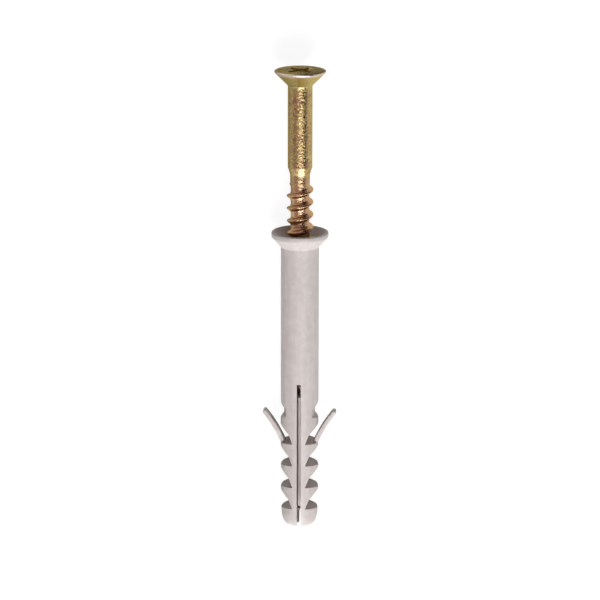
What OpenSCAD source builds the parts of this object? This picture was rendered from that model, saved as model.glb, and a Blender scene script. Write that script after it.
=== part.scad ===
// Frame fixing: a nylon plug with its countersunk screw partly driven in.
// Each piece is drawn upright, with the head up and the slit to the front (-Y), around the
// centre of the collar's top face, and is then laid down as it rests on a table: head to +Y,
// back down, and rolled a little towards one wing.

/* [Screw] */
// Length of the screw over all
screw_len = 85; // [70:0.5:100]
// Diameter of the countersunk head
head_d = 13.3; // [12:0.1:14]
// Height of the head's rim above its cone
head_rim_h = 0.9; // [0.6:0.05:1.4]
// Radius of the rim's upper edge
head_edge_r = 0.7; // [0.2:0.05:0.8]
// Length of the head and the plain shank together
shank_end = 25.6; // [18:0.1:30]
// Diameter of the plain shank
shank_d = 6.45; // [5.8:0.05:6.8]
// Length of the tapered shoulder under the shank
shoulder_len = 2.1; // [1:0.1:4]
// Diameter of the neck above the thread
neck_d = 5.2; // [5:0.05:5.6]
// Length of the neck between the shoulder and the thread
neck_len = 2.5; // [1:0.1:5]

/* [Cross recess] */
// Distance across the recess from arm end to arm end
recess_across = 7.8; // [6:0.1:9]
// Width of one arm at the top
recess_arm_w = 1.5; // [1:0.1:2]
// Depth of the recess
recess_depth = 3.9; // [2.5:0.1:4.5]
// Diameter of the round middle between the arms
recess_core_d = 3.9; // [3:0.1:5]
// Diameter across the arms at the foot of the recess
recess_foot_d = 2.6; // [2:0.1:3.5]

/* [Thread] */
// Diameter over the crests
thread_d = 7; // [6.6:0.05:7.2]
// Diameter at the root
root_d = 4.9; // [4.5:0.05:5]
// Rise in one turn
thread_pitch = 3.35; // [3:0.05:4]
// Length of the tapered point
point_len = 4.5; // [3:0.1:7]
// Direction in which the crest leaves the neck, seen from the head
thread_start_angle = 164; // [0:1:359]
// Turns over which the thread fades out at the neck
run_out_turns = 0.65; // [0.4:0.05:1.5]

/* [Plug] */
// Length of the plug from the collar's top to the tip
plug_len = 80; // [70:0.5:100]
// Diameter of the sleeve, which is that of the drilled hole
sleeve_d = 10; // [9.4:0.1:11]
// Diameter of the collar
collar_d = 15; // [14.6:0.1:17]
// Height of the collar's rounded rim
collar_rim_h = 1.7; // [1.2:0.1:2.2]
// Depth at which the collar's cone meets the sleeve
collar_depth = 4.1; // [3.8:0.1:6]
// Clearance around the thread in the bore, on the radius
thread_clearance = 0.1; // [0.05:0.05:0.3]
// Clearance around the head in the countersink, on the radius
head_clearance = 0.2; // [0.1:0.05:0.3]
// Diameter of the narrow channel that the screw spreads
channel_d = 2.2; // [1.6:0.1:2.8]
// Length of the taper from the bore down to the channel
bore_taper_len = 14.2; // [10:0.2:20]
// Distance from the tip to the end of the straight bore
bore_end_up = 38.2; // [36:0.2:42]
// Distance from the tip to the end of the channel
channel_end_up = 4; // [2:0.5:8]

/* [Slit] */
// Width of the slit between the two legs
slit_w = 1; // [0.6:0.1:1.4]
// Distance from the tip to the top of the slit
slit_len = 39.5; // [34:0.5:44]
// Length at the top over which the slit is open at its full width
slit_open_len = 3.8; // [2:0.1:6]
// Width of the gap left beside the tongue that fills the slit below
gap_w = 0.4; // [0.2:0.05:0.6]
// Depth of the tongue's face under the outside of the sleeve
tongue_depth = 1.8; // [1.2:0.1:2.4]
// Length over which the tongue rises to the outside near its lower end
tongue_rise_len = 3.5; // [2:0.1:5]
// Length of the tongue's flush lower end
tongue_flush_len = 0.3; // [0.1:0.1:1]
// Distance from the tip to the lower end of the front tongue
front_tongue_up = 6.2; // [5:0.1:8]
// Distance from the tip to the lower end of the back tongue
back_tongue_up = 3.2; // [2:0.1:4.5]

/* [Barbs] */
// Number of barbs on each leg
barb_count = 4; // [2:1:5]
// Distance from one barb to the next
barb_pitch = 6; // [5:0.1:7]
// Distance from the tip to the top of the lowest barb
last_barb_up = 5; // [4.5:0.1:7]
// Depth of a notch between two barbs
notch_depth = 3.35; // [2.6:0.05:3.4]
// Depth at which the notch's long flank gets steeper
flank_depth = 2.3; // [1.8:0.05:2.5]
// Rise of the steep stretch at the foot of the notch
notch_foot_h = 2.5; // [1.5:0.1:3]
// Height of the bump above the first notch
bump_h = 1.8; // [1:0.1:3]
// Depth of the waist above the bump, at the middle of its face
waist_depth = 0.9; // [0.4:0.05:1.2]
// Further depth of the waist where its face meets the sleeve's front and back
waist_draft = 0.7; // [0.2:0.05:1]
// Length of the waist at its full depth
waist_len = 2.7; // [1.5:0.1:4]
// Length over which the waist runs out to the sleeve
waist_fade_len = 1.8; // [1:0.1:3]

/* [Tip] */
// How much smaller the tip is than the sleeve, on the radius
tip_step = 0.2; // [0.1:0.05:0.4]
// Length of the rounded nose
nose_len = 3; // [2:0.1:4]
// Radius of the flat end
nose_flat_r = 2.6; // [2:0.1:3.4]

/* [Wings] */
// Thickness of a wing
wing_t = 1.2; // [0.9:0.05:1.6]
// Width of a wing from front to back
wing_w = 3; // [2:0.1:4]
// Length of a wing along its curve, above its barb
wing_len = 9.2; // [6:0.1:11]
// Lean of the wing from the axis at its root
wing_lean = 24; // [18:0.5:30]
// Radius of the wing's curve
wing_curve_r = 38; // [25:1:60]

/* [Hidden] */
$fn = 96;

brass_yellow = "#b9a265";
nylon_grey = "#d2cbc8";

// Cuts reach this far past the surface that they open
over = 1;

sleeve_r = sleeve_d / 2;
collar_r = collar_d / 2;
head_r = head_d / 2;
shank_r = shank_d / 2;
neck_r = neck_d / 2;
root_r = root_d / 2;
crest_r = thread_d / 2;

bore_r = crest_r + thread_clearance;
channel_r = channel_d / 2;
mouth_r = head_r + head_clearance;
bore_depth = plug_len - bore_end_up;
channel_depth = bore_depth + bore_taper_len;

// The screw is pushed in until its point stands just inside the taper of the bore
point_seat = 0.2;
point_z = -(bore_depth + point_seat);
head_z = point_z + screw_len;
shoulder_z = head_z - shank_end;
neck_z = shoulder_z - shoulder_len;
thread_z = neck_z - neck_len;

// Rim of the collar: rounded over and under, around a straight band
rim_round_r = 0.6;
rim_lip_r = 0.4;
rim_low_z = rim_round_r - collar_rim_h;
arc_steps = 5;

last_barb_z = -(plug_len - last_barb_up);
first_barb_z = last_barb_z + (barb_count - 1) * barb_pitch;
wing_steps = 8;
// Depth to which a wing's root is sunk in its barb, along its curve
wing_root = 1.6;

// Angle over which the waist's upper end curves in from the sleeve
fade_turn = 60;

// Thread: one strip of facets wound up the core, of so many to a turn
thread_sides = 24;
// Ridge, as [share of the pitch from its foot, share of its height]
ridge = [[0, 0], [0.34, 0.9], [0.42, 1], [0.5, 0.92], [0.66, 0]];
crest_share = ridge[2][0];
point_flat_r = 0.3;
thread_sunk = 0.3;
// The crest has run out this far above the thread's upper end
run_out_end = thread_pitch / 4;

function clamp01(v) = min(1, max(0, v));

// Points on an arc around c, from one angle to another
function arc(c, r, from, to, steps = arc_steps) = [
    for (i = [0 : steps])
        let (a = from + (to - from) * i / steps)
        c + r * [cos(a), sin(a)]
];

// On a table the collar rolls freely until a wing touches, so it can rest at any roll between
// the wings. It is drawn at this one.
rest_roll = 18;

module laid_at_rest() {
    rotate([-90, 0, 0])
        rotate(-rest_roll)
            children();
}

module mirrored_pair() {
    children();
    mirror([1, 0, 0])
        children();
}

// Right-hand coarse thread with its core, its point and its fade-out at the neck.
// The strip's rows are numbered by step around the axis and by point of the ridge, and a
// row's last point is the first point of the row one turn further on.
module thread() {
    rows = len(ridge);
    steps = ceil(thread_sides * (thread_z + thread_sunk - point_z) / thread_pitch);
    turn_at_top = (thread_z - point_z) / thread_pitch - crest_share;
    first_angle = thread_start_angle - 360 * turn_at_top;

    function height(j, share) = point_z + thread_pitch * (j / thread_sides + share);
    function to_point(z) = clamp01((z - point_z) / point_len);
    function fade(j) =
        clamp01((thread_z + run_out_end - height(j, crest_share)) / (thread_pitch * run_out_turns));
    function radius(j, m) =
        let (
            z = height(j, ridge[m][0]),
            core = point_flat_r + (root_r - point_flat_r) * to_point(z)
        )
        core + (crest_r - root_r) * ridge[m][1] * fade(j) * to_point(z);
    function spot(j, m) =
        let (a = first_angle + 360 * j / thread_sides, r = radius(j, m))
        [r * cos(a), r * sin(a), height(j, ridge[m][0])];
    function id(j, m) =
        m == 0 ? j
        : m == rows ? j + thread_sides
        : steps + thread_sides + 1 + (m - 1) * (steps + 1) + j;

    base_row = [for (j = [0 : steps + thread_sides]) spot(j, 0)];
    other_rows = [for (m = [1 : rows - 1]) for (j = [0 : steps]) spot(j, m)];
    low_end = len(base_row) + len(other_rows);
    high_end = low_end + 1;
    ends = [[0, 0, point_z], [0, 0, height(steps, 0.5)]];

    low_loop = concat(
        [for (j = [0 : thread_sides - 1]) id(j, 0)],
        [for (m = [rows : -1 : 1]) id(0, m)]
    );
    high_loop = concat(
        [for (m = [0 : rows - 1]) id(steps, m)],
        [for (j = [steps + thread_sides : -1 : steps + 1]) id(j, 0)]
    );
    function fan(loop, centre) = [
        for (i = [0 : len(loop) - 1]) [centre, loop[i], loop[(i + 1) % len(loop)]]
    ];

    polyhedron(
        points = concat(base_row, other_rows, ends),
        faces = concat(
            [for (j = [0 : steps - 1]) for (m = [0 : rows - 1]) [id(j, m), id(j + 1, m + 1), id(j + 1, m)]],
            [for (j = [0 : steps - 1]) for (m = [0 : rows - 1]) [id(j, m), id(j, m + 1), id(j + 1, m + 1)]],
            fan(low_loop, low_end),
            fan(high_loop, high_end)
        )
    );
}

module cross_recess() {
    wall = recess_depth + over;
    foot_r = recess_foot_d / 2;
    translate([0, 0, head_z - recess_depth])
        intersection() {
            union() {
                for (turn = [45, 135])
                    rotate(turn)
                        translate([-recess_across, -recess_arm_w / 2, 0])
                            cube([2 * recess_across, recess_arm_w, wall]);
                cylinder(d = recess_core_d, h = wall);
            }
            cylinder(
                r1 = foot_r,
                r2 = foot_r + (recess_across / 2 - foot_r) * wall / recess_depth,
                h = wall
            );
        }
}

module steel_screw() {
    under_head_z = head_z - head_rim_h - (head_r - shank_r);
    color(brass_yellow)
        laid_at_rest()
            union() {
                difference() {
                    rotate_extrude()
                        polygon(concat(
                            [[0, head_z]],
                            arc([head_r - head_edge_r, head_z - head_edge_r], head_edge_r, 90, 0),
                            [
                                [head_r, head_z - head_rim_h],
                                [shank_r, under_head_z],
                                [shank_r, shoulder_z],
                                [neck_r, neck_z],
                                [neck_r, thread_z],
                                [0, thread_z],
                            ]
                        ));
                    cross_recess();
                }
                thread();
            }
}

// Collar, sleeve and nose as one turned outline
module plug_outside() {
    band_r = collar_r - rim_round_r;
    nose_r = sleeve_r - tip_step;
    nose_z = -(plug_len - nose_len);
    rotate_extrude()
        polygon(concat(
            [[0, 0]],
            arc([collar_r - rim_lip_r, -rim_lip_r], rim_lip_r, 90, 0),
            arc([band_r, rim_low_z], rim_round_r, 0, -45),
            [[sleeve_r, -collar_depth], [sleeve_r, last_barb_z], [nose_r, last_barb_z]],
            [
                for (i = [0 : arc_steps])
                    let (a = 90 * i / arc_steps)
                    [nose_flat_r + (nose_r - nose_flat_r) * cos(a), nose_z - nose_len * sin(a)]
            ],
            [[0, -plug_len]]
        ));
}

// Countersink, bore, taper and channel
module plug_inside() {
    seat_depth = mouth_r - bore_r;
    channel_end_z = -(plug_len - channel_end_up);
    rotate_extrude()
        polygon([
            [0, over],
            [mouth_r + over, over],
            [bore_r, -seat_depth],
            [bore_r, -bore_depth],
            [channel_r, -channel_depth],
            [channel_r, channel_end_z],
            [0, channel_end_z],
        ]);
}

// Prism that runs from front to back, drawn in the plane of x and height
module cut_front_to_back(outline) {
    rotate([90, 0, 0])
        linear_extrude(height = 2 * sleeve_d, center = true)
            polygon(outline);
}

// Notch above a barb, flat below and with a long flank above
module notch(barb_z) {
    flank_x = sleeve_r - flank_depth;
    foot_z = barb_z + notch_foot_h;
    cut_front_to_back([
        [sleeve_r - notch_depth, barb_z],
        [sleeve_r + over, barb_z],
        [sleeve_r + over, foot_z + flank_depth + over],
        [flank_x, foot_z],
    ]);
}

// Waist above the bump: its face comes nearer to the axis towards the front and the back, as
// the mould's draft leaves it, and curves out to the sleeve above
module waist() {
    low = first_barb_z + notch_foot_h + flank_depth + bump_h;
    high = low + waist_len;
    middle_x = sleeve_r - waist_depth;
    edge_y = sqrt(pow(sleeve_r, 2) - pow(middle_x - waist_draft, 2));
    far_x = middle_x - waist_draft * sleeve_r / edge_y;
    intersection() {
        cut_front_to_back(concat(
            [[0, high], [0, low], [sleeve_r + over, low], [sleeve_r + over, high + waist_fade_len]],
            [
                for (i = [0 : arc_steps])
                    let (a = fade_turn * i / arc_steps)
                    [
                        sleeve_r - waist_depth * (1 - cos(a)) / (1 - cos(fade_turn)),
                        high + waist_fade_len * (1 - sin(a) / sin(fade_turn)),
                    ]
            ]
        ));
        translate([0, 0, low - over])
            linear_extrude(height = waist_len + waist_fade_len + 2 * over)
                polygon([
                    [middle_x, 0],
                    [far_x, sleeve_r],
                    [sleeve_r + 2 * over, sleeve_r],
                    [sleeve_r + 2 * over, -sleeve_r],
                    [far_x, -sleeve_r],
                ]);
    }
}

// Springy wing that grows out of the first barb and leans outwards and up
module wing() {
    round_r = wing_t / 2;
    function lean(l) = wing_lean + l * 180 / (PI * wing_curve_r);
    function middle(l) = [
        sleeve_r - round_r + wing_curve_r * (cos(wing_lean) - cos(lean(l))),
        first_barb_z + wing_curve_r * (sin(lean(l)) - sin(wing_lean)),
    ];
    function beside(l, off) = middle(l) + off * [cos(lean(l)), -sin(lean(l))];
    function along(i) = -wing_root + (wing_len + wing_root) * i / wing_steps;
    end_turn = -lean(wing_len);

    rotate([90, 0, 0])
        linear_extrude(height = wing_w, center = true)
            polygon(concat(
                [for (i = [0 : wing_steps - 1]) beside(along(i), round_r)],
                arc(middle(wing_len), round_r, end_turn, end_turn + 180, 2 * arc_steps),
                [for (i = [wing_steps - 1 : -1 : 0]) beside(along(i), -round_r)]
            ));
}

// Half of the slit, cut from the front to the axis. Below its open top a tongue of the right
// leg fills it but for a gap, with its face sunk until it rises to the outside at its end.
module half_slit(tongue_up) {
    top_z = slit_len - plug_len;
    end_z = tongue_up - plug_len;
    flush_z = end_z + tongue_flush_len;
    reach = sleeve_r + over;
    face = sleeve_r - tongue_depth;
    difference() {
        translate([-slit_w / 2, -reach, -plug_len - over])
            cube([slit_w, reach, slit_len + over]);
        translate([slit_w / 2 + over, 0, 0])
            rotate([90, 0, -90])
                linear_extrude(height = slit_w - gap_w + over)
                    polygon([
                        [-over, top_z - slit_open_len],
                        [face, top_z - slit_open_len],
                        [face, flush_z + tongue_rise_len],
                        [sleeve_r, flush_z],
                        [reach + over, flush_z],
                        [reach + over, end_z],
                        [-over, end_z],
                    ]);
    }
}

module slit() {
    half_slit(front_tongue_up);
    rotate(180)
        half_slit(back_tongue_up);
}

module nylon_plug() {
    color(nylon_grey)
        laid_at_rest()
            difference() {
                union() {
                    difference() {
                        plug_outside();
                        mirrored_pair() {
                            for (i = [0 : barb_count - 1])
                                notch(first_barb_z - i * barb_pitch);
                            waist();
                        }
                    }
                    mirrored_pair()
                        wing();
                }
                plug_inside();
                slit();
            }
}

nylon_plug();
steel_screw();
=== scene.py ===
import math

import bmesh
import bpy
from mathutils import Matrix, Vector


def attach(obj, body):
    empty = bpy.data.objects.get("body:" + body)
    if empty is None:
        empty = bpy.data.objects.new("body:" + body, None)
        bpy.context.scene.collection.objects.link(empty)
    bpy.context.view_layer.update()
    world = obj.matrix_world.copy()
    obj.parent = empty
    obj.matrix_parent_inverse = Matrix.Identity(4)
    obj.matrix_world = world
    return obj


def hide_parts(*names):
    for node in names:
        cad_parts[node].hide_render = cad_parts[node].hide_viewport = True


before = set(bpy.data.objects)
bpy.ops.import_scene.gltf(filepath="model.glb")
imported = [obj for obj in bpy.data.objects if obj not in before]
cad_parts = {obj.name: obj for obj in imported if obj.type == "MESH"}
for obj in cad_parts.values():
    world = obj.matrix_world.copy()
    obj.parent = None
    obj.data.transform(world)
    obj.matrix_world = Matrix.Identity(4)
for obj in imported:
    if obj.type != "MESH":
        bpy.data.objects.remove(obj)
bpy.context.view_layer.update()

# The countersunk screw: carbon steel wire, its head and its thinner neck formed cold. The head's
# top edge is slightly round, and a small fillet under its cone keeps the head from snapping off.
SCREW_TOP = 43.0
HEAD_R, HEAD_RIM, HEAD_EDGE_W, HEAD_EDGE_H = 6.75, 0.5, 1.0, 0.25
SHANK_R, NECK_R = 3.225, 2.6
CONE_END = SCREW_TOP - HEAD_RIM - (HEAD_R - SHANK_R)
SHANK_END, NECK_START, NECK_END = 17.4, 15.3, 12.8
# The radii of the rim, the fillet and the shoulder, and how far the neck runs into the thread
RIM_ROUND, FILLET, SHOULDER_ROUND, NECK_LAP, LAP_ROUND = 0.6, 0.8, 0.6, 0.4, 0.1
EDGE_STEPS = 8

# Every piece is drawn upright in millimetres, head up and slit to the front, and then laid down:
# the head to +Y, the back on the table, and rolled a little towards the left wing.
MM = 1000.0
REST_ROLL = math.radians(18)
AS_IT_LIES = (
    Matrix.Scale(1 / MM, 4)
    @ Matrix.Rotation(math.radians(-90), 4, "X")
    @ Matrix.Rotation(-REST_ROLL, 4, "Z")
)


def rounded(corners, steps=5):
    """The line through (x, z, radius) corners, each rounded by its radius."""
    line = []
    for i, (x, z, r) in enumerate(corners):
        here = Vector((x, z))
        if r == 0 or i in (0, len(corners) - 1):
            line.append(here)
            continue
        back = (Vector(corners[i - 1][:2]) - here).normalized()
        ahead = (Vector(corners[i + 1][:2]) - here).normalized()
        half = back.angle(ahead) / 2
        reach = r / math.tan(half)
        centre = here + (back + ahead).normalized() * (r / math.sin(half))
        first, last = here + back * reach - centre, here + ahead * reach - centre
        for k in range(steps + 1):
            t = k / steps
            line.append(centre + first.lerp(last, t).normalized() * r)
    return line


def ringed(line, step):
    """The same line with points at most a step apart."""
    points = [line[0]]
    for a, b in zip(line, line[1:]):
        n = max(1, math.ceil((b - a).length / step))
        points += [a.lerp(b, k / n) for k in range(1, n + 1)]
    return points


# Two points this near each other are one, and an edge this short is none
ONE_POINT, NO_EDGE = 1e-4, 1e-5


def closed(name, bm):
    """A new object from a shell whose doubles are merged and whose faces are turned outwards."""
    bmesh.ops.remove_doubles(bm, verts=bm.verts, dist=ONE_POINT)
    bmesh.ops.dissolve_degenerate(bm, edges=bm.edges, dist=NO_EDGE)
    bmesh.ops.recalc_face_normals(bm, faces=bm.faces)
    mesh = bpy.data.meshes.new(name)
    bm.to_mesh(mesh)
    bm.free()
    obj = bpy.data.objects.new(name, mesh)
    bpy.context.scene.collection.objects.link(obj)
    return obj


def turned(name, line, sides=144):
    """A shell turned about the axis from a line of (radius, height) that starts and ends on it."""
    bm = bmesh.new()
    rings = []
    for r, z in line:
        rings.append([
            bm.verts.new((r * math.cos(a), r * math.sin(a), z))
            for a in (2 * math.pi * k / sides for k in range(sides if r > ONE_POINT else 1))
        ])
    for low, high in zip(rings, rings[1:]):
        for k in range(sides):
            j = k + 1
            corners = list(dict.fromkeys(
                (low[k % len(low)], low[j % len(low)], high[j % len(high)], high[k % len(high)])
            ))
            if len(corners) > 2:
                bm.faces.new(corners)
    return closed(name, bm)


def prism(name, line, low, high, along="Z"):
    """A shell drawn out from an outline of (x, other), between two places along Z or Y."""
    bm = bmesh.new()
    place = (lambda x, o, d: (x, o, d)) if along == "Z" else (lambda x, o, d: (x, d, o))
    ends = [[bm.verts.new(place(x, o, d)) for x, o in line] for d in (low, high)]
    for end in ends:
        bm.faces.new(end)
    for k in range(len(line)):
        j = (k + 1) % len(line)
        bm.faces.new((ends[0][k], ends[0][j], ends[1][j], ends[1][k]))
    return closed(name, bm)


def settle(obj):
    """Turns an object's modifiers into plain mesh."""
    bpy.context.view_layer.update()
    result = obj.evaluated_get(bpy.context.evaluated_depsgraph_get())
    mesh = bpy.data.meshes.new_from_object(result)
    obj.modifiers.clear()
    obj.data = mesh
    return obj


def combine(obj, other, how):
    """Cuts another shell from an object, adds it, or keeps what both share."""
    step = obj.modifiers.new(how.lower(), "BOOLEAN")
    step.operation, step.solver, step.object = how, "MANIFOLD", other
    settle(obj)
    bpy.data.objects.remove(other)
    return obj


screw = turned("steel_screw_detail", ringed(rounded([
    (0, SCREW_TOP, 0),
    *(
        (HEAD_R - HEAD_EDGE_W * (1 - math.sin(a)), SCREW_TOP - HEAD_EDGE_H * (1 - math.cos(a)), 0)
        for a in (math.pi / 2 * k / EDGE_STEPS for k in range(EDGE_STEPS + 1))
    ),
    (HEAD_R, SCREW_TOP - HEAD_RIM, RIM_ROUND),
    (SHANK_R, CONE_END, FILLET),
    (SHANK_R, SHANK_END, SHOULDER_ROUND),
    (NECK_R, NECK_START, SHOULDER_ROUND),
    (NECK_R, NECK_END - NECK_LAP, LAP_ROUND),
    (0, NECK_END - NECK_LAP, 0),
]), step=1.5))


# The cross recess: punched into the head by a tapered pin, so its four arms narrow downwards
# and its walls end in a small cone.
RECESS_ACROSS, RECESS_ARM, RECESS_DEPTH, RECESS_CORE, RECESS_FOOT = 7.8, 1.5, 3.9, 3.9, 2.6
# The pin ends in a cone and stands out above the head, and the cross that shapes it is longer
PIN_CONE, PIN_OVER = 0.5, 1
CROSS_LOW, CROSS_HIGH = SCREW_TOP - 6, SCREW_TOP + 2

pin_slope = (RECESS_ACROSS - RECESS_FOOT) / 2 / RECESS_DEPTH
punch = turned("punch", [Vector(p) for p in (
    (0, SCREW_TOP - RECESS_DEPTH - PIN_CONE),
    (RECESS_FOOT / 2, SCREW_TOP - RECESS_DEPTH),
    (RECESS_FOOT / 2 + pin_slope * (RECESS_DEPTH + PIN_OVER), SCREW_TOP + PIN_OVER),
    (0, SCREW_TOP + PIN_OVER),
)], sides=72)
arms = turned("arms", [Vector(p) for p in (
    (0, CROSS_LOW), (RECESS_CORE / 2, CROSS_LOW), (RECESS_CORE / 2, CROSS_HIGH), (0, CROSS_HIGH),
)], sides=72)
# The cross stands at 45 degrees to the slit
for turn in (45, 135):
    c, s = math.cos(math.radians(turn)), math.sin(math.radians(turn))
    corners = [
        (RECESS_ACROSS, RECESS_ARM / 2), (-RECESS_ACROSS, RECESS_ARM / 2),
        (-RECESS_ACROSS, -RECESS_ARM / 2), (RECESS_ACROSS, -RECESS_ARM / 2),
    ]
    bar = prism("bar", [(x * c - y * s, x * s + y * c) for x, y in corners], CROSS_LOW, CROSS_HIGH)
    combine(arms, bar, "UNION")
combine(punch, arms, "INTERSECT")
combine(screw, punch, "DIFFERENCE")


# The thread: a coarse right-hand ridge rolled out of the wire between two dies. Its flanks are
# hollow where they leave the core, its crest is blunt, and it runs out to nothing at the neck.
def add_node(tree, kind, links=None, **settings):
    """Adds a node with its settings, and for each input named a value, a socket or a node to link."""
    node = tree.nodes.new(kind)
    for key, value in settings.items():
        setattr(node, key, value)
    for key, value in (links or {}).items():
        if isinstance(value, bpy.types.Node):
            value = value.outputs[0]
        if isinstance(value, bpy.types.NodeSocket):
            tree.links.new(value, node.inputs[key])
        else:
            node.inputs[key].default_value = value
    return node


THREAD = {
    "Pitch": 3.35,
    "Crest radius": 3.5,
    "Root radius": 2.45,
    "Point height": -45.0,
    "Top height": NECK_END,
    "Point length": 4.5,
    "Run-out turns": 0.65,
    "Start angle": math.radians(164),
}
# The ridge as (share of the pitch, share of its height), the turn on which its crest leaves the
# point, how far above the thread's end it has run out, and the core's share left at the point
RIDGE = (
    (0.10, 0.06), (0.22, 0.40), (0.34, 0.88), (0.42, 1.0),
    (0.50, 0.90), (0.58, 0.42), (0.67, 0.06), (0.76, 0.0),
)
CREST_TURN, RUN_OUT_END, BLUNT_POINT = 0.58, 0.84, 0.06
# The steps round one turn and over the ridge, and how near two of their points are made one
STEPS_ROUND, STEPS_OVER, WELD = 96, 26, 0.004

tree = bpy.data.node_groups.new("rolled_thread", "GeometryNodeTree")
tree.interface.new_socket("Geometry", in_out="OUTPUT", socket_type="NodeSocketGeometry")
tree.interface.new_socket("Geometry", in_out="INPUT", socket_type="NodeSocketGeometry")
thread_inputs = {
    key: tree.interface.new_socket(key, in_out="INPUT", socket_type="NodeSocketFloat") for key in THREAD
}
thread_inputs["Finish"] = tree.interface.new_socket(
    "Finish", in_out="INPUT", socket_type="NodeSocketMaterial",
)
size = tree.nodes.new("NodeGroupInput").outputs

turns = math.ceil((THREAD["Top height"] - THREAD["Point height"]) / THREAD["Pitch"]) + 2
whole_turns = (THREAD["Top height"] - THREAD["Point height"]) / THREAD["Pitch"] + CREST_TURN
strip = add_node(tree, "GeometryNodeMeshGrid", {
    "Size X": float(turns), "Size Y": 1.0,
    "Vertices X": turns * STEPS_ROUND + 1, "Vertices Y": STEPS_OVER + 1,
})
at = add_node(tree, "ShaderNodeSeparateXYZ", {0: add_node(tree, "GeometryNodeInputPosition")})
ridge = add_node(tree, "ShaderNodeFloatCurve")
ridge_line = ridge.mapping.curves[0]
ridge_line.points[0].location, ridge_line.points[1].location = (0, 0), (1, 0)
for x, y in RIDGE:
    ridge_line.points.new(x, y)
ridge.mapping.update()

# The strip's X is the turn and its Y the place over the ridge. It starts one turn below the point,
# and what lies past either end of the thread is drawn in to the axis. Each row is one sum.
found = {key: size[key] for key in THREAD}
found |= {"X": at.outputs["X"], "Y": at.outputs["Y"], "ridge": ridge}
for name, how, *parts in (
    ("turn", "ADD", "X", turns / 2),
    ("over", "ADD", "Y", 0.5),
    ("wound", "ADD", "turn", "over"),
    ("wound up", "SUBTRACT", "wound", 1.0),
    ("height", "MULTIPLY_ADD", "wound up", "Pitch", "Point height"),
    ("above point", "GREATER_THAN", "height", "Point height"),
    ("below top", "LESS_THAN", "height", "Top height"),
    ("inside", "MULTIPLY", "above point", "below top"),
    ("raised", "MAXIMUM", "height", "Point height"),
    ("kept height", "MINIMUM", "raised", "Top height"),
    ("up the point", "SUBTRACT", "kept height", "Point height"),
    ("point share", "DIVIDE", "up the point", "Point length"),
    ("taper", "MINIMUM", "point share", 1.0),
    ("crest turn", "SUBTRACT", "turn", CREST_TURN),
    ("crest height", "MULTIPLY_ADD", "crest turn", "Pitch", "Point height"),
    ("last crest", "ADD", "Top height", RUN_OUT_END),
    ("to the end", "SUBTRACT", "last crest", "crest height"),
    ("run-out", "MULTIPLY", "Pitch", "Run-out turns"),
    ("fade share", "DIVIDE", "to the end", "run-out"),
    ("fade up", "MAXIMUM", "fade share", 0.0),
    ("fade", "MINIMUM", "fade up", 1.0),
    ("full ridge", "SUBTRACT", "Crest radius", "Root radius"),
    ("ridge here", "MULTIPLY", "ridge", "full ridge"),
    ("faded", "MULTIPLY", "ridge here", "fade"),
    ("tapered", "MULTIPLY", "faded", "taper"),
    ("blunt taper", "MAXIMUM", "taper", BLUNT_POINT),
    ("core and ridge", "MULTIPLY_ADD", "Root radius", "blunt taper", "tapered"),
    ("radius", "MULTIPLY", "inside", "core and ridge"),
    ("turn from top", "SUBTRACT", "turn", whole_turns),
    ("angle", "MULTIPLY_ADD", "turn from top", 2 * math.pi, "Start angle"),
    ("cosine", "COSINE", "angle"),
    ("sine", "SINE", "angle"),
    ("x", "MULTIPLY", "radius", "cosine"),
    ("y", "MULTIPLY", "radius", "sine"),
):
    operands = {i: found.get(part, part) for i, part in enumerate(parts)}
    found[name] = add_node(tree, "ShaderNodeMath", operands, operation=how)
tree.links.new(found["over"].outputs[0], ridge.inputs["Value"])
wound = add_node(tree, "GeometryNodeSetPosition", {
    "Geometry": strip,
    "Position": add_node(tree, "ShaderNodeCombineXYZ", {
        "X": found["x"], "Y": found["y"], "Z": found["kept height"],
    }),
})
joined = add_node(tree, "GeometryNodeMergeByDistance", {"Geometry": wound, "Distance": WELD})
real = add_node(tree, "GeometryNodeRealizeInstances", {"Geometry": joined})
finish = add_node(tree, "GeometryNodeSetMaterial", {"Geometry": real, "Material": size["Finish"]})
add_node(tree, "NodeGroupOutput", {0: finish})


def srgb(text):
    """The linear colour of an sRGB hex value."""
    parts = [int(text[i:i + 2], 16) / 255 for i in (1, 3, 5)]
    return tuple(v / 12.92 if v <= 0.04045 else ((v + 0.055) / 1.055) ** 2.4 for v in parts) + (1.0,)


# Zinc-plated steel, yellow passivated: the plating is matt and pitted at the size of its
# crystals, so a highlight breaks up into specks (drawn some five times coarser than they are, or
# the picture would not hold them). The film over it is rose brown where one looks straight at it
# and olive gold at the edges, and clouds where its thickness varies. Sizes are in millimetres.
CLOUD, SPECK, PIT_DEPTH = 2.4, 0.66, 0.16
steel = bpy.data.materials.new("zinc_plated_steel_yellow_passivated")
steel.use_nodes = True
tree = steel.node_tree
tree.nodes.clear()
where = add_node(tree, "ShaderNodeTexCoord").outputs["Object"]
cloud = add_node(tree, "ShaderNodeTexNoise", {
    "Vector": where, "Scale": MM / CLOUD, "Detail": 4.0, "Roughness": 0.6,
})
speck = add_node(tree, "ShaderNodeTexNoise", {
    "Vector": where, "Scale": MM / SPECK, "Detail": 3.0, "Roughness": 0.7,
})
blend = add_node(tree, "ShaderNodeMix", {
    "Factor": 0.62, "A": cloud.outputs["Fac"], "B": speck.outputs["Fac"],
}, data_type="FLOAT")
film = add_node(tree, "ShaderNodeValToRGB", {"Fac": blend})
stops = film.color_ramp.elements
stops[0].position, stops[0].color = 0.36, srgb("#8a6a56")
stops[1].position, stops[1].color = 0.64, srgb("#c8b784")
for place, colour in ((0.43, "#a8866a"), (0.49, "#b09668"), (0.56, "#b4a26e")):
    stops.new(place).color = srgb(colour)
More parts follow.
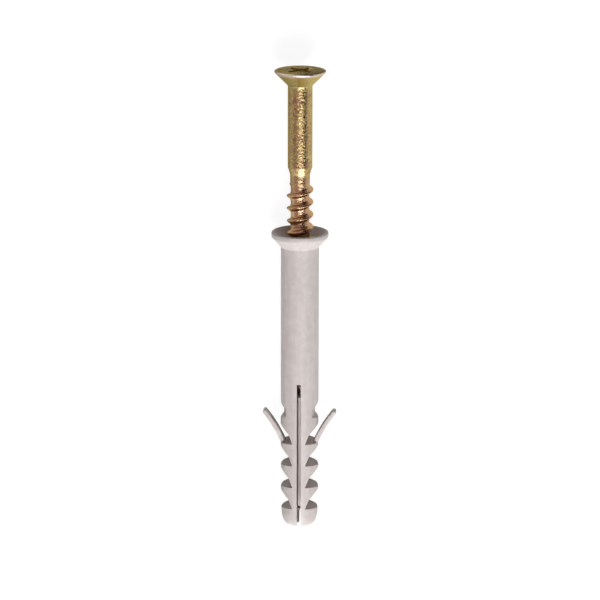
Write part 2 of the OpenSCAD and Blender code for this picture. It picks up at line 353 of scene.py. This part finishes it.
# Under the head the film is greener, and the thread is painted rosy for the reddish light its flanks
# throw on each other: where each begins and is full
GREENER, PAINTED_THREAD_REFLECTION = (37.5, 38.5), (17.0, 11.0)
down = add_node(tree, "ShaderNodeSeparateXYZ", {0: where})
on_cone = add_node(tree, "ShaderNodeMapRange", {
    "Value": down.outputs["Y"], "From Min": GREENER[0] / MM, "From Max": GREENER[1] / MM,
    "To Min": 0.0, "To Max": 0.5,
})
green = add_node(tree, "ShaderNodeMix", {
    "Factor": on_cone, "A": film.outputs["Color"], "B": srgb("#b4ac6e"),
}, data_type="RGBA")
# Painted reflection: the thread's rose tint stands in for the reddish light between its flanks
on_thread = add_node(tree, "ShaderNodeMapRange", {
    "Value": down.outputs["Y"], "From Min": PAINTED_THREAD_REFLECTION[0] / MM, "From Max": PAINTED_THREAD_REFLECTION[1] / MM,
    "To Min": 0.0, "To Max": 0.6,
})
rose = add_node(tree, "ShaderNodeMix", {
    "Factor": on_thread, "A": green.outputs["Result"], "B": srgb("#c0947e"),
}, data_type="RGBA")
# The head's edge carries a painted highlight, a pale pinkish ring where its rounded rim mirrors
# the light: this far from the axis it begins, and is full
PAINTED_RIM_HIGHLIGHT = (6.1, 6.6)
flat = add_node(tree, "ShaderNodeVectorMath", {0: where, 1: (1.0, 0.0, 1.0)}, operation="MULTIPLY")
from_axis = add_node(tree, "ShaderNodeVectorMath", {0: flat}, operation="LENGTH")
rim_highlight_share = add_node(tree, "ShaderNodeMapRange", {
    "Value": from_axis.outputs["Value"], "From Min": PAINTED_RIM_HIGHLIGHT[0] / MM, "From Max": PAINTED_RIM_HIGHLIGHT[1] / MM,
    "To Min": 0.0, "To Max": 0.8,
})
# Painted highlight: the pale ring on the head's rim
pale = add_node(tree, "ShaderNodeMix", {
    "Factor": rim_highlight_share, "A": rose.outputs["Result"], "B": srgb("#dcc8c4"),
}, data_type="RGBA")
worn = add_node(tree, "ShaderNodeMapRange", {
    "Value": speck.outputs["Fac"], "From Min": 0.3, "From Max": 0.7, "To Min": 0.13, "To Max": 0.27,
})
pits = add_node(tree, "ShaderNodeBump", {
    "Height": speck.outputs["Fac"], "Strength": 0.9, "Distance": PIT_DEPTH / MM,
})
surface = add_node(tree, "ShaderNodeBsdfPrincipled", {
    "Base Color": pale.outputs["Result"], "Roughness": worn.outputs[0], "Normal": pits,
    "Metallic": 1.0, "Specular Tint": srgb("#eadfb4"),
})
add_node(tree, "ShaderNodeOutputMaterial", {"Surface": surface})

thread = bpy.data.objects.new("thread", bpy.data.meshes.new("thread"))
bpy.context.scene.collection.objects.link(thread)
winding = thread.modifiers.new("rolled_thread", "NODES")
winding.node_group = bpy.data.node_groups["rolled_thread"]
for key, value in THREAD.items():
    winding[thread_inputs[key].identifier] = value
winding[thread_inputs["Finish"].identifier] = steel
settle(thread)
bm = bmesh.new()
bm.from_mesh(thread.data)
whole_thread = closed("whole_thread", bm)
bpy.data.objects.remove(thread)
combine(screw, whole_thread, "UNION")


def finished(obj, material, node, smooth_to):
    """Lays a drawn piece down, gives it its finish and lets it stand for its CAD node."""
    obj.data.transform(AS_IT_LIES)
    obj.data.materials.clear()
    obj.data.materials.append(material)
    obj.data.shade_smooth()
    obj.data.set_sharp_from_angle(angle=math.radians(smooth_to))
    obj.data.update()
    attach(obj, "root")
    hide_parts(node)


finished(screw, steel, "steel_screw", smooth_to=32)


# The plug: one injection moulding in grey nylon. The collar, the plain sleeve and the rounded nose
# are turned forms in the mould, and the bore is left by a long core pin pulled out upwards.
SLEEVE_R, COLLAR_R, PLUG_LEN = 5.0, 7.5, 80.0
COLLAR_RIM, COLLAR_END = 1.33, 4.1
MOUTH_R, BORE_R, CHANNEL_R = 6.85, 3.6, 1.1
BORE_END, CHANNEL_START, CHANNEL_END = 41.8, 56.0, 76.0
LAST_BARB, NOSE_START, NOSE_R, NOSE_FLAT_R = 75.0, 76.0, 4.82, 3.3
# The radii of the lip, of the rim's foot and of the corner under the collar, and of any other edge
LIP_ROUND, RIM_FOOT_ROUND, COLLAR_END_ROUND, EDGE_ROUND = 0.4, 0.6, 0.12, 0.06
NOSE_STEPS = 12

outline = rounded([
    (0, 0, 0),
    (COLLAR_R, 0, LIP_ROUND),
    (COLLAR_R, -COLLAR_RIM, RIM_FOOT_ROUND),
    (SLEEVE_R, -COLLAR_END, COLLAR_END_ROUND),
    (SLEEVE_R, -LAST_BARB, EDGE_ROUND),
    (NOSE_R, -LAST_BARB, EDGE_ROUND),
    (NOSE_R, -NOSE_START, 0),
])
for k in range(1, NOSE_STEPS + 1):
    a = math.pi / 2 * k / NOSE_STEPS
    outline.append(Vector((
        NOSE_FLAT_R + (NOSE_R - NOSE_FLAT_R) * math.cos(a),
        -NOSE_START - (PLUG_LEN - NOSE_START) * math.sin(a),
    )))
plug = turned("nylon_plug_detail", ringed(outline + [Vector((0, -PLUG_LEN))], step=2.0))


# The barbs: notches moulded into both sides of the legs, nearly flat below and sloped above, so
# that the legs slide in and don't pull out. Nylon doesn't fill a mould's corners, so the barbs'
# edges are round.
BARBS = {"Count": 4, "Pitch": 6.0, "First height": -57.0}
NOTCH_X, NOTCH_ROUND = 1.65, 0.12
# The notch's upper side is steep as far as its flank's foot, and then rises at 45 degrees
FLANK_X, FLANK_FOOT, FLANK_ROUND = 2.7, 2.5, 0.5
BARB_FALL, BARB_EDGE = 0.35, 0.8
# The notch's shell passes this far beyond the sleeve, and its round edge ends just outside it
BEYOND_X, BEYOND_Y, BEYOND_LOW, OUTSIDE = 6.5, 8, 1.4, 0.03

notch = prism("notch", rounded([
    (BEYOND_X, -BEYOND_LOW, 0),
    (BEYOND_X, FLANK_FOOT + BEYOND_X - FLANK_X, 0),
    (FLANK_X, FLANK_FOOT, FLANK_ROUND),
    (NOTCH_X, 0, NOTCH_ROUND),
    (SLEEVE_R + OUTSIDE, -BARB_FALL, BARB_EDGE),
    (SLEEVE_R + OUTSIDE, -BEYOND_LOW, 0),
]), -BEYOND_Y, BEYOND_Y, along="Y")

tree = bpy.data.node_groups.new("barbs_on_both_legs", "GeometryNodeTree")
tree.interface.new_socket("Geometry", in_out="OUTPUT", socket_type="NodeSocketGeometry")
tree.interface.new_socket("Geometry", in_out="INPUT", socket_type="NodeSocketGeometry")
barb_inputs = {
    key: tree.interface.new_socket(key, in_out="INPUT", socket_type=kind) for key, kind in (
        ("Notch", "NodeSocketObject"), ("Count", "NodeSocketInt"), ("Pitch", "NodeSocketFloat"),
        ("First height", "NodeSocketFloat"), ("Finish", "NodeSocketMaterial"),
    )
}
size = tree.nodes.new("NodeGroupInput").outputs
shape = add_node(tree, "GeometryNodeObjectInfo", {"Object": size["Notch"]})
row = add_node(tree, "GeometryNodeMeshLine", {
    "Count": size["Count"],
    "Start Location": add_node(tree, "ShaderNodeCombineXYZ", {"Z": size["First height"]}),
    "Offset": add_node(tree, "ShaderNodeCombineXYZ", {
        "Z": add_node(tree, "ShaderNodeMath", {0: size["Pitch"], 1: -1.0}, operation="MULTIPLY"),
    }),
}, mode="OFFSET")
one_side = add_node(tree, "GeometryNodeInstanceOnPoints", {
    "Points": row, "Instance": shape.outputs["Geometry"],
})
other_side = add_node(tree, "GeometryNodeTransform", {
    "Geometry": one_side, "Rotation": (0.0, 0.0, math.pi),
})
both = add_node(tree, "GeometryNodeJoinGeometry", {0: one_side})
tree.links.new(other_side.outputs[0], both.inputs[0])
real = add_node(tree, "GeometryNodeRealizeInstances", {"Geometry": both})
notched = add_node(tree, "GeometryNodeMeshBoolean", {
    "Mesh 1": size["Geometry"], "Mesh 2": real,
}, operation="DIFFERENCE", solver="MANIFOLD")
real = add_node(tree, "GeometryNodeRealizeInstances", {"Geometry": notched})
finish = add_node(tree, "GeometryNodeSetMaterial", {"Geometry": real, "Material": size["Finish"]})
add_node(tree, "NodeGroupOutput", {0: finish})


# Polyamide, injection moulded and left as it comes: light warm grey, satin from the mould's fine
# spark-eroded grain (drawn coarser than it is, or the picture would not hold it), slightly hazy,
# with faint flow marks along its length, and light sinks a little into it. Sizes in millimetres.
HAZE, FLOW, GRAIN, GRAIN_DEPTH, LIGHT_DEPTH = 1.6, 1.1, 0.22, 0.03, 0.6
# The flow marks are drawn out by counting a place along the plug as this share of itself
FLOW_SHARE = 0.12
nylon = bpy.data.materials.new("polyamide_injection_moulded_grey")
nylon.use_nodes = True
tree = nylon.node_tree
tree.nodes.clear()
where = add_node(tree, "ShaderNodeTexCoord").outputs["Object"]
along = add_node(tree, "ShaderNodeMapping", {"Vector": where, "Scale": (1.0, FLOW_SHARE, 1.0)})
haze = add_node(tree, "ShaderNodeTexNoise", {
    "Vector": where, "Scale": MM / HAZE, "Detail": 3.0, "Roughness": 0.55,
})
flow = add_node(tree, "ShaderNodeTexNoise", {
    "Vector": along, "Scale": MM / FLOW, "Detail": 2.0, "Roughness": 0.5,
})
blend = add_node(tree, "ShaderNodeMix", {
    "Factor": 0.45, "A": haze.outputs["Fac"], "B": flow.outputs["Fac"],
}, data_type="FLOAT")
shade = add_node(tree, "ShaderNodeValToRGB", {"Fac": blend})
stops = shade.color_ramp.elements
stops[0].position, stops[0].color = 0.36, srgb("#cfc5c2")
stops[1].position, stops[1].color = 0.64, srgb("#dbd2cf")
grain = add_node(tree, "ShaderNodeTexNoise", {
    "Vector": where, "Scale": MM / GRAIN, "Detail": 2.0, "Roughness": 0.6,
})
satin = add_node(tree, "ShaderNodeBump", {
    "Height": grain.outputs["Fac"], "Strength": 0.25, "Distance": GRAIN_DEPTH / MM,
})
gloss = add_node(tree, "ShaderNodeMapRange", {
    "Value": haze.outputs["Fac"], "From Min": 0.3, "From Max": 0.7, "To Min": 0.42, "To Max": 0.52,
})
surface = add_node(tree, "ShaderNodeBsdfPrincipled", {
    "Base Color": shade.outputs["Color"], "Roughness": gloss.outputs[0], "Normal": satin,
    "Metallic": 0.0, "IOR": 1.53, "Subsurface Weight": 0.12, "Subsurface Radius": (1.0, 0.9, 0.85),
    "Subsurface Scale": LIGHT_DEPTH / MM,
})
add_node(tree, "ShaderNodeOutputMaterial", {"Surface": surface})

barbing = plug.modifiers.new("barbs_on_both_legs", "NODES")
barbing.node_group = bpy.data.node_groups["barbs_on_both_legs"]
for key, value in BARBS.items():
    barbing[barb_inputs[key].identifier] = value
barbing[barb_inputs["Notch"].identifier] = notch
barbing[barb_inputs["Finish"].identifier] = nylon
settle(plug)
bpy.data.objects.remove(notch)


# The waist: a drafted flat on each side above the barbs, where the root of the wing folds in. The
# two halves of the mould meet at the middle, so each face is a shallow ridge. It fades out above
# and ends in a short step below.
WAIST_LOW, WAIST_HIGH, WAIST_STEP, WAIST_FADE = -49.8, -47.6, 1.2, 2.0
WAIST_TURN, WAIST_STEPS = math.radians(60), 8
WAIST_X, WAIST_EDGE_X, WAIST_EDGE_Y = 4.1, 3.4, 3.666
# Each waist is what two shells share, and both reach out past the sleeve
PAST_X, PAST_Y, DRAFT_X, DRAFT_Y, DRAFT_OVER = 6, 7, 7, 5, 1

for side in (1, -1):
    line = []
    inwards, outwards = range(WAIST_STEPS + 1), range(WAIST_STEPS, -1, -1)
    for z, length, steps in ((WAIST_HIGH, WAIST_FADE, inwards), (WAIST_LOW, -WAIST_STEP, outwards)):
        for a in (WAIST_TURN * k / WAIST_STEPS for k in steps):
            share = (1 - math.cos(a)) / (1 - math.cos(WAIST_TURN))
            line.append((
                side * (SLEEVE_R - (SLEEVE_R - WAIST_EDGE_X) * share),
                z + length * (1 - math.sin(a) / math.sin(WAIST_TURN)),
            ))
    line += [(PAST_X * side, WAIST_LOW - WAIST_STEP), (PAST_X * side, WAIST_HIGH + WAIST_FADE)]
    waist = prism("waist", line, -PAST_Y, PAST_Y, along="Y")
    far_x = WAIST_X - (WAIST_X - WAIST_EDGE_X) * DRAFT_Y / WAIST_EDGE_Y
    draft = prism("draft", [(side * x, y) for x, y in (
        (WAIST_X, 0), (far_x, DRAFT_Y), (DRAFT_X, DRAFT_Y), (DRAFT_X, -DRAFT_Y), (far_x, -DRAFT_Y),
    )], WAIST_LOW - WAIST_STEP - DRAFT_OVER, WAIST_HIGH + WAIST_FADE + DRAFT_OVER)
    combine(waist, draft, "INTERSECT")
    combine(plug, waist, "DIFFERENCE")


# The wings: two springy strips that grow out of the first barbs, curving outwards and up, to keep
# the plug from turning in its hole. Moulded with the plug, with edges rounded by the mould.
WING_T, WING_W, WING_LEN, WING_ROOT = 1.2, 3.0, 9.2, 1.6
WING_LEAN, WING_CURVE_R, WING_EDGE = math.radians(24), 38.0, 0.22
WING_STEPS, TIP_STEPS, EDGE_SEGMENTS = 14, 8, 3


def beside_wing(side, length, off):
    """A point beside the wing's middle line, this far along it and off it, as (x, height)."""
    lean = WING_LEAN + length / WING_CURVE_R
    x = SLEEVE_R - WING_T / 2 + WING_CURVE_R * (math.cos(WING_LEAN) - math.cos(lean))
    z = BARBS["First height"] + WING_CURVE_R * (math.sin(lean) - math.sin(WING_LEAN))
    return side * (x + off * math.cos(lean)), z - off * math.sin(lean)


for side in (1, -1):
    lengths = [-WING_ROOT + (WING_LEN + WING_ROOT) * k / WING_STEPS for k in range(WING_STEPS + 1)]
    tip, lean = beside_wing(side, WING_LEN, 0), WING_LEAN + WING_LEN / WING_CURVE_R
    cap = [
        (tip[0] + side * WING_T / 2 * math.cos(a), tip[1] + WING_T / 2 * math.sin(a))
        for a in (-lean + math.pi * k / TIP_STEPS for k in range(1, TIP_STEPS))
    ]
    outside = [beside_wing(side, n, WING_T / 2) for n in lengths]
    inside = [beside_wing(side, n, -WING_T / 2) for n in reversed(lengths)]
    wing = prism("wing", outside + cap + inside, -WING_W / 2, WING_W / 2, along="Y")
    edge = wing.modifiers.new("moulded_edge", "BEVEL")
    edge.width, edge.segments = WING_EDGE, EDGE_SEGMENTS
    edge.limit_method, edge.angle_limit = "ANGLE", math.radians(60)
    settle(wing)
    combine(plug, wing, "UNION")

# The bore flares to its mouth at 45 degrees, and its shell begins above the collar
BORE_OVER = 1
bore = turned("bore", [Vector(p) for p in (
    (0, BORE_OVER), (MOUTH_R + BORE_OVER, BORE_OVER),
    (BORE_R, -(MOUTH_R - BORE_R)), (BORE_R, -BORE_END),
    (CHANNEL_R, -CHANNEL_START), (CHANNEL_R, -CHANNEL_END), (0, -CHANNEL_END),
)])
combine(plug, bore, "DIFFERENCE")


# The slit: left by a blade in each half of the mould, so each half of it has a tongue of one
# leg that fills all but a narrow gap. The tongue's face is sunk, and rises to the outside below.
SLIT_HALF, SLIT_TOP, SLIT_OPEN, GAP = 0.5, 40.5, 3.8, 0.4
TONGUE_FACE, TONGUE_RISE, TONGUE_FLUSH = 3.8, 3.5, 0.3
TONGUE_ENDS = 73.8, 76.8
# The blade reaches out past the sleeve and the nose, and the tongue past the blade and the axis
BLADE_OUT, BLADE_LOW, TONGUE_OVER, TONGUE_OUT = 6, 81, 1, 7
# The slit's lips are rounded: (half width, distance from the axis) from inside out, and the length
# that is left sharp above and below
LIP, LIP_LOW, LIP_HIGH = ((0.5, 4.87), (0.56, 4.94), (0.64, 5.1)), 0.4, 0.06

for half_turn, tongue_end in zip((0, math.pi), TONGUE_ENDS):
    blade = prism("blade", [
        (-SLIT_HALF, 0), (SLIT_HALF, 0), (SLIT_HALF, -BLADE_OUT), (-SLIT_HALF, -BLADE_OUT),
    ], -BLADE_LOW, -SLIT_TOP)
    flush = -tongue_end + TONGUE_FLUSH
    tongue = prism("tongue", [(-y, z) for y, z in (
        (-TONGUE_OVER, -SLIT_TOP - SLIT_OPEN),
        (TONGUE_FACE, -SLIT_TOP - SLIT_OPEN),
        (TONGUE_FACE, flush + TONGUE_RISE),
        (SLEEVE_R, flush),
        (TONGUE_OUT, flush),
        (TONGUE_OUT, -tongue_end),
        (-TONGUE_OVER, -tongue_end),
    )], -SLIT_HALF + GAP, SLIT_HALF + TONGUE_OVER)
    # The outline is drawn in the plane of y and height, so the prism's axes change places
    tongue.data.transform(Matrix(((0, 0, 1, 0), (1, 0, 0, 0), (0, 1, 0, 0), (0, 0, 0, 1))))
    combine(blade, tongue, "DIFFERENCE")
    lip = prism("lip", [(-LIP[0][0], -LIP[0][1])] + [(x, -y) for x, y in LIP] + [
        (-x, -y) for x, y in LIP[:0:-1]
    ], -tongue_end + LIP_LOW, -SLIT_TOP + LIP_HIGH)
    combine(blade, lip, "UNION")
    blade.data.transform(Matrix.Rotation(half_turn, 4, "Z"))
    combine(plug, blade, "DIFFERENCE")

finished(plug, nylon, "nylon_plug", smooth_to=32)


# The table: a plain white sheet. The camera and the screw's plating see it as white, and it keeps
# a part of what falls on it, so the fixing's soft shadow stays.
TABLE_SIDE = 6
bpy.ops.mesh.primitive_plane_add(size=TABLE_SIDE, location=(0, 0, -COLLAR_R / MM))
table = bpy.context.object
table.name = "table"
paper = bpy.data.materials.new("matt_white_paper")
paper.use_nodes = True
tree = paper.node_tree
tree.nodes.clear()
ray = add_node(tree, "ShaderNodeLightPath").outputs
seen = add_node(tree, "ShaderNodeMath", {
    0: ray["Is Camera Ray"], 1: ray["Is Glossy Ray"],
}, operation="MAXIMUM")
seen = add_node(tree, "ShaderNodeMath", {0: seen, 1: ray["Is Transmission Ray"]}, operation="MAXIMUM")
sheet = add_node(tree, "ShaderNodeBsdfDiffuse", {"Color": srgb("#c8c8c8")})
veil = add_node(tree, "ShaderNodeBsdfDiffuse", {"Color": srgb("#787878")})
glow = add_node(tree, "ShaderNodeEmission", {"Color": (1, 1, 1, 1), "Strength": 0.91})
white = add_node(tree, "ShaderNodeAddShader", {0: veil, 1: glow})
mixed = add_node(tree, "ShaderNodeMixShader", {0: seen, 1: sheet, 2: white})
add_node(tree, "ShaderNodeOutputMaterial", {"Surface": mixed})
table.data.materials.append(paper)


# The room: white all round, as the camera and the plating see it. What it gives the fixing fades
# and turns brown towards the screw's head, so what faces that way stays dark and warm.
room = bpy.data.worlds.new("studio")
bpy.context.scene.world = room
room.use_nodes = True
tree = room.node_tree
tree.nodes.clear()
ray = add_node(tree, "ShaderNodeLightPath").outputs
seen = add_node(tree, "ShaderNodeMath", {
    0: ray["Is Camera Ray"], 1: ray["Is Glossy Ray"],
}, operation="MAXIMUM")
seen = add_node(tree, "ShaderNodeMath", {0: seen, 1: ray["Is Transmission Ray"]}, operation="MAXIMUM")
sky = add_node(tree, "ShaderNodeTexCoord").outputs["Generated"]
way = add_node(tree, "ShaderNodeSeparateXYZ", {0: sky})
level = add_node(tree, "ShaderNodeMapRange", {
    "Value": way.outputs["Y"], "From Min": -0.6, "From Max": 0.5, "To Min": 0.62, "To Max": 0.05,
}, interpolation_type="SMOOTHSTEP")
warmth = add_node(tree, "ShaderNodeMapRange", {
    "Value": way.outputs["Y"], "From Min": 0.0, "From Max": 0.5, "To Min": 0.0, "To Max": 1.0,
})
tone = add_node(tree, "ShaderNodeMix", {
    "Factor": warmth, "A": (1, 1, 1, 1), "B": srgb("#a8784e"),
}, data_type="RGBA")
light = add_node(tree, "ShaderNodeBackground", {
    "Color": tone.outputs["Result"], "Strength": level.outputs[0],
})
backdrop = add_node(tree, "ShaderNodeBackground", {"Color": (1, 1, 1, 1), "Strength": 1.0})
mixed = add_node(tree, "ShaderNodeMixShader", {0: seen, 1: light, 2: backdrop})
add_node(tree, "ShaderNodeOutputWorld", {"Surface": mixed})


# The camera of the photograph: far off, 15 degrees above the upright fixing's horizon.
LENS, SENSOR, DISTANCE = 228.06, 36, 1000.0
TURN, ELEVATION, ROLL = 2.96, 14.9, math.radians(0.104)
AIM = Vector((0.046, 0, -18.62))
LAID = AS_IT_LIES.to_3x3().normalized()


def way_to(sideways, above):
    """The way from the upright fixing to a place, by its angles from the camera's and from level."""
    a, e = math.radians(TURN + sideways), math.radians(above)
    return Vector((math.sin(a) * math.cos(e), -math.cos(a) * math.cos(e), math.sin(e)))


back = way_to(0, ELEVATION)
right = Vector((math.cos(math.radians(TURN)), math.sin(math.radians(TURN)), 0))
up = back.cross(right)
right, up = right * math.cos(ROLL) + up * math.sin(ROLL), up * math.cos(ROLL) - right * math.sin(ROLL)
camera = bpy.data.objects.new("camera", bpy.data.cameras.new("camera"))
bpy.context.scene.collection.objects.link(camera)
camera.matrix_world = Matrix.Translation(AS_IT_LIES @ (AIM + back * DISTANCE)) @ (
    LAID @ Matrix((right, up, back)).transposed()
).to_4x4()
camera.data.sensor_width, camera.data.lens = SENSOR, LENS
camera.data.clip_start, camera.data.clip_end = 0.01, 20
bpy.context.scene.camera = camera


# Cards from black to white, out of the camera's sight: the plating mirrors them beside the white
# room, as in any photograph of bright metal. The first ones stand around the fixing and the
# camera, by degrees sideways from the camera and above level. One in front of another is nearer.
CARD_REACH, NEAR_REACH, CARD_COLUMNS, CARD_ROWS = 1250.0, 1225.0, 24, 12


def set_up_card(name, tone, strength, places):
    """A card through a grid of places, seen only by what mirrors it."""
    bm = bmesh.new()
    grid = [[bm.verts.new(place) for place in row] for row in places]
    for here, there in zip(grid, grid[1:]):
        for k in range(len(here) - 1):
            bm.faces.new((here[k], there[k], there[k + 1], here[k + 1]))
    card = bpy.data.objects.new(name, bpy.data.meshes.new(name))
    bm.to_mesh(card.data)
    bm.free()
    bpy.context.scene.collection.objects.link(card)
    board = bpy.data.materials.new(name + "_board")
    board.use_nodes = True
    board.node_tree.nodes.clear()
    tint = add_node(board.node_tree, "ShaderNodeEmission", {"Color": srgb(tone), "Strength": strength})
    add_node(board.node_tree, "ShaderNodeOutputMaterial", {"Surface": tint})
    card.data.materials.append(board)
    card.visible_camera = card.visible_diffuse = card.visible_shadow = card.visible_transmission = False


for name, tone, strength, reach, (left, right), (low, high) in (
    ("grey_card_left", "#c2b2ae", 1.0, CARD_REACH, (-78, -7), (-30, 90)),
    ("dark_strip_left", "#8a7c72", 1.0, NEAR_REACH, (-60, -53), (-30, 60)),
    ("pale_card_middle", "#9c98b2", 1.0, CARD_REACH, (-8, 12), (-46, 90)),
    ("dark_card_right", "#2e2a27", 1.0, CARD_REACH, (12, 62), (-30, 90)),
    ("dark_card_high_right", "#2e2a27", 1.0, CARD_REACH, (62, 125), (6, 64)),
    ("grey_card_head", "#58545c", 1.0, CARD_REACH, (-180, 180), (50, 90)),
    ("white_card_head", "#e8dcd6", 1.0, NEAR_REACH, (-125, 3), (34, 64)),
    ("white_card_low", "#f6eeff", 1.5, NEAR_REACH, (-34, 46), (-78, -40)),
):
    columns = [left + (right - left) * k / CARD_COLUMNS for k in range(CARD_COLUMNS + 1)]
    rows = [low + (high - low) * k / CARD_ROWS for k in range(CARD_ROWS + 1)]
    set_up_card(name, tone, strength, [
        [AS_IT_LIES @ (AIM + way_to(a, e) * reach) for e in rows] for a in columns
    ])
# The others lie just above the table, by millimetres. They are painted shadow: sheets darker than
# the table where the fixing's shade falls beside it, seen only in what mirrors them
CARD_LOW = 0.1 - COLLAR_R
for name, tone, left, right, near, far in (
    ("grey_card_past_the_head", "#9a9390", -40, 40, SCREW_TOP + 0.3, SCREW_TOP + 5),
    ("black_card_past_the_head", "#1c1816", 1, 13, SCREW_TOP + 5, SCREW_TOP + 40),
    ("brown_card_under_the_barbs", "#463a2e", -12, 13, 4 - PLUG_LEN, -50),
    ("grey_card_beside_the_screw", "#cac8c4", -60, -1, 4, SCREW_TOP - 0.5),
):
    set_up_card(name, tone, 1.0, [
        [Vector((x, y, CARD_LOW)) / MM for y in (near, far)] for x in (left, right)
    ])


# Two lamps, by degrees and millimetres from what the camera aims at, with sides in metres and
# power in watts. The broad one, in front and past the fixing's tip, lights it all and draws the
# bright line down the screw. The narrow one, nearer to the camera, only lifts the middle.
for name, sideways, above, distance, width, height, power in (
    ("broad_lamp", 13, -36, 900, 0.66, 0.46, 6.5),
    ("narrow_lamp", 4, -18, 700, 0.26, 0.5, 0.12),
):
    lamp = bpy.data.objects.new(name, bpy.data.lights.new(name, "AREA"))
    bpy.context.scene.collection.objects.link(lamp)
    lamp.location = AS_IT_LIES @ (AIM + way_to(sideways, above) * distance)
    lamp.rotation_mode = "QUATERNION"
    lamp.rotation_quaternion = (LAID @ way_to(sideways, above)).to_track_quat("Z", "Y")
    lamp.data.shape, lamp.data.size, lamp.data.size_y = "RECTANGLE", width, height
    lamp.data.energy = power

bpy.context.scene.view_settings.view_transform = "Standard"
